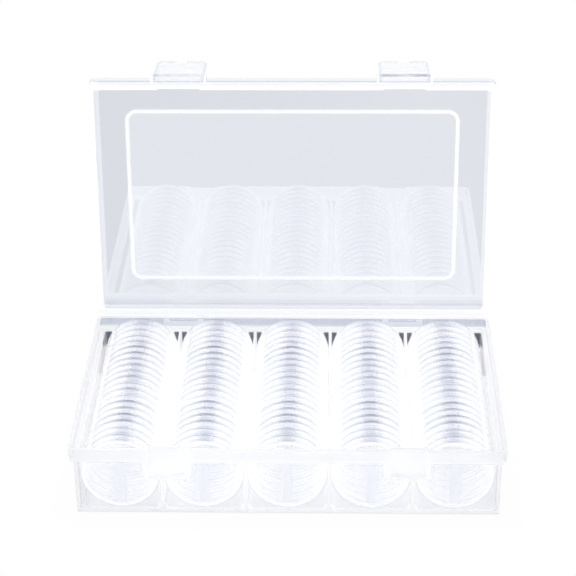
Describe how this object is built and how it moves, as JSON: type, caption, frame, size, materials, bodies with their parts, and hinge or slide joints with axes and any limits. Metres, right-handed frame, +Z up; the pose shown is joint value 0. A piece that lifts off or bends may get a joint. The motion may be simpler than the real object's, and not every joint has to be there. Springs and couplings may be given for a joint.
{
  "type": "coin capsule set in a hinged storage box",
  "caption": "Clear hinged plastic storage box with open channels that hold rows of round two-piece coin capsules on edge; two front snap latches and a lid on two rear snap hinges.",
  "frame": {"origin": "centre of the tray's flat underside", "axes": "+X to the right along the box's width, -Y to the front where the latches close, +Y to the hinges, +Z up"},
  "size_m": [0.178, 0.1436, 0.144],
  "materials": {
    "tray_plastic": "gloss",
    "lid_plastic": "gloss",
    "latch_plastic": "gloss",
    "capsule_plastic": "gloss"
  },
  "bodies": {
    "base_tray": {"base_tray": "tray_plastic"},
    "lid": {"lid": "lid_plastic"},
    "left_latch": {"left_latch": "latch_plastic"},
    "right_latch": {"right_latch": "latch_plastic"},
    "row_1_front_capsule": {"row_1_front_capsule_base": "capsule_plastic", "row_1_front_capsule_cover": "capsule_plastic"},
    "row_1_middle_capsules": {"row_1_middle_capsule_bases": "capsule_plastic", "row_1_middle_capsule_covers": "capsule_plastic"},
    "row_1_back_capsule": {"row_1_back_capsule_base": "capsule_plastic"},
    "row_1_back_cover": {"row_1_back_capsule_cover": "capsule_plastic"},
    "row_2_front_capsule": {"row_2_front_capsule_base": "capsule_plastic", "row_2_front_capsule_cover": "capsule_plastic"},
    "row_2_middle_capsules": {"row_2_middle_capsule_bases": "capsule_plastic", "row_2_middle_capsule_covers": "capsule_plastic"},
    "row_2_back_capsule": {"row_2_back_capsule_base": "capsule_plastic"},
    "row_2_back_cover": {"row_2_back_capsule_cover": "capsule_plastic"},
    "row_3_front_capsule": {"row_3_front_capsule_base": "capsule_plastic", "row_3_front_capsule_cover": "capsule_plastic"},
    "row_3_middle_capsules": {"row_3_middle_capsule_bases": "capsule_plastic", "row_3_middle_capsule_covers": "capsule_plastic"},
    "row_3_back_capsule": {"row_3_back_capsule_base": "capsule_plastic"},
    "row_3_back_cover": {"row_3_back_capsule_cover": "capsule_plastic"},
    "row_4_front_capsule": {"row_4_front_capsule_base": "capsule_plastic", "row_4_front_capsule_cover": "capsule_plastic"},
    "row_4_middle_capsules": {"row_4_middle_capsule_bases": "capsule_plastic", "row_4_middle_capsule_covers": "capsule_plastic"},
    "row_4_back_capsule": {"row_4_back_capsule_base": "capsule_plastic"},
    "row_4_back_cover": {"row_4_back_capsule_cover": "capsule_plastic"},
    "row_5_front_capsule": {"row_5_front_capsule_base": "capsule_plastic", "row_5_front_capsule_cover": "capsule_plastic"},
    "row_5_middle_capsules": {"row_5_middle_capsule_bases": "capsule_plastic", "row_5_middle_capsule_covers": "capsule_plastic"},
    "row_5_back_capsule": {"row_5_back_capsule_base": "capsule_plastic"},
    "row_5_back_cover": {"row_5_back_capsule_cover": "capsule_plastic"}
  },
  "joints": [
    {"name": "lid_hinge", "type": "hinge", "parent": "base_tray", "child": "lid", "pos_m": [0, 0.0557, 0.0308], "axis": [-1, 0, 0], "range_deg": [-95.3, 1.7]},
    {"name": "left_latch_hinge", "type": "hinge", "parent": "lid", "child": "left_latch", "pos_m": [-0.049, 0.06947, 0.14241], "axis": [-1, 0, 0], "range_deg": [-180, 5]},
    {"name": "right_latch_hinge", "type": "hinge", "parent": "lid", "child": "right_latch", "pos_m": [0.049, 0.06947, 0.14241], "axis": [-1, 0, 0], "range_deg": [-180, 5]},
    {"name": "row_1_front_lift", "type": "slide", "parent": "base_tray", "child": "row_1_front_capsule", "axis": [0, 0, 1], "range_m": [0, 0.06]},
    {"name": "row_1_middle_lift", "type": "slide", "parent": "base_tray", "child": "row_1_middle_capsules", "axis": [0, 0, 1], "range_m": [0, 0.06]},
    {"name": "row_1_back_lift", "type": "slide", "parent": "base_tray", "child": "row_1_back_capsule", "axis": [0, 0, 1], "range_m": [0, 0.06]},
    {"name": "row_1_back_cover_pull", "type": "slide", "parent": "row_1_back_capsule", "child": "row_1_back_cover", "axis": [0, 1, 0], "range_m": [0, 0.003]},
    {"name": "row_2_front_lift", "type": "slide", "parent": "base_tray", "child": "row_2_front_capsule", "axis": [0, 0, 1], "range_m": [0, 0.06]},
    {"name": "row_2_middle_lift", "type": "slide", "parent": "base_tray", "child": "row_2_middle_capsules", "axis": [0, 0, 1], "range_m": [0, 0.06]},
    {"name": "row_2_back_lift", "type": "slide", "parent": "base_tray", "child": "row_2_back_capsule", "axis": [0, 0, 1], "range_m": [0, 0.06]},
    {"name": "row_2_back_cover_pull", "type": "slide", "parent": "row_2_back_capsule", "child": "row_2_back_cover", "axis": [0, 1, 0], "range_m": [0, 0.003]},
    {"name": "row_3_front_lift", "type": "slide", "parent": "base_tray", "child": "row_3_front_capsule", "axis": [0, 0, 1], "range_m": [0, 0.06]},
    {"name": "row_3_middle_lift", "type": "slide", "parent": "base_tray", "child": "row_3_middle_capsules", "axis": [0, 0, 1], "range_m": [0, 0.06]},
    {"name": "row_3_back_lift", "type": "slide", "parent": "base_tray", "child": "row_3_back_capsule", "axis": [0, 0, 1], "range_m": [0, 0.06]},
    {"name": "row_3_back_cover_pull", "type": "slide", "parent": "row_3_back_capsule", "child": "row_3_back_cover", "axis": [0, 1, 0], "range_m": [0, 0.003]},
    {"name": "row_4_front_lift", "type": "slide", "parent": "base_tray", "child": "row_4_front_capsule", "axis": [0, 0, 1], "range_m": [0, 0.06]},
    {"name": "row_4_middle_lift", "type": "slide", "parent": "base_tray", "child": "row_4_middle_capsules", "axis": [0, 0, 1], "range_m": [0, 0.06]},
    {"name": "row_4_back_lift", "type": "slide", "parent": "base_tray", "child": "row_4_back_capsule", "axis": [0, 0, 1], "range_m": [0, 0.06]},
    {"name": "row_4_back_cover_pull", "type": "slide", "parent": "row_4_back_capsule", "child": "row_4_back_cover", "axis": [0, 1, 0], "range_m": [0, 0.003]},
    {"name": "row_5_front_lift", "type": "slide", "parent": "base_tray", "child": "row_5_front_capsule", "axis": [0, 0, 1], "range_m": [0, 0.06]},
    {"name": "row_5_middle_lift", "type": "slide", "parent": "base_tray", "child": "row_5_middle_capsules", "axis": [0, 0, 1], "range_m": [0, 0.06]},
    {"name": "row_5_back_lift", "type": "slide", "parent": "base_tray", "child": "row_5_back_capsule", "axis": [0, 0, 1], "range_m": [0, 0.06]},
    {"name": "row_5_back_cover_pull", "type": "slide", "parent": "row_5_back_capsule", "child": "row_5_back_cover", "axis": [0, 1, 0], "range_m": [0, 0.003]}
  ]
}
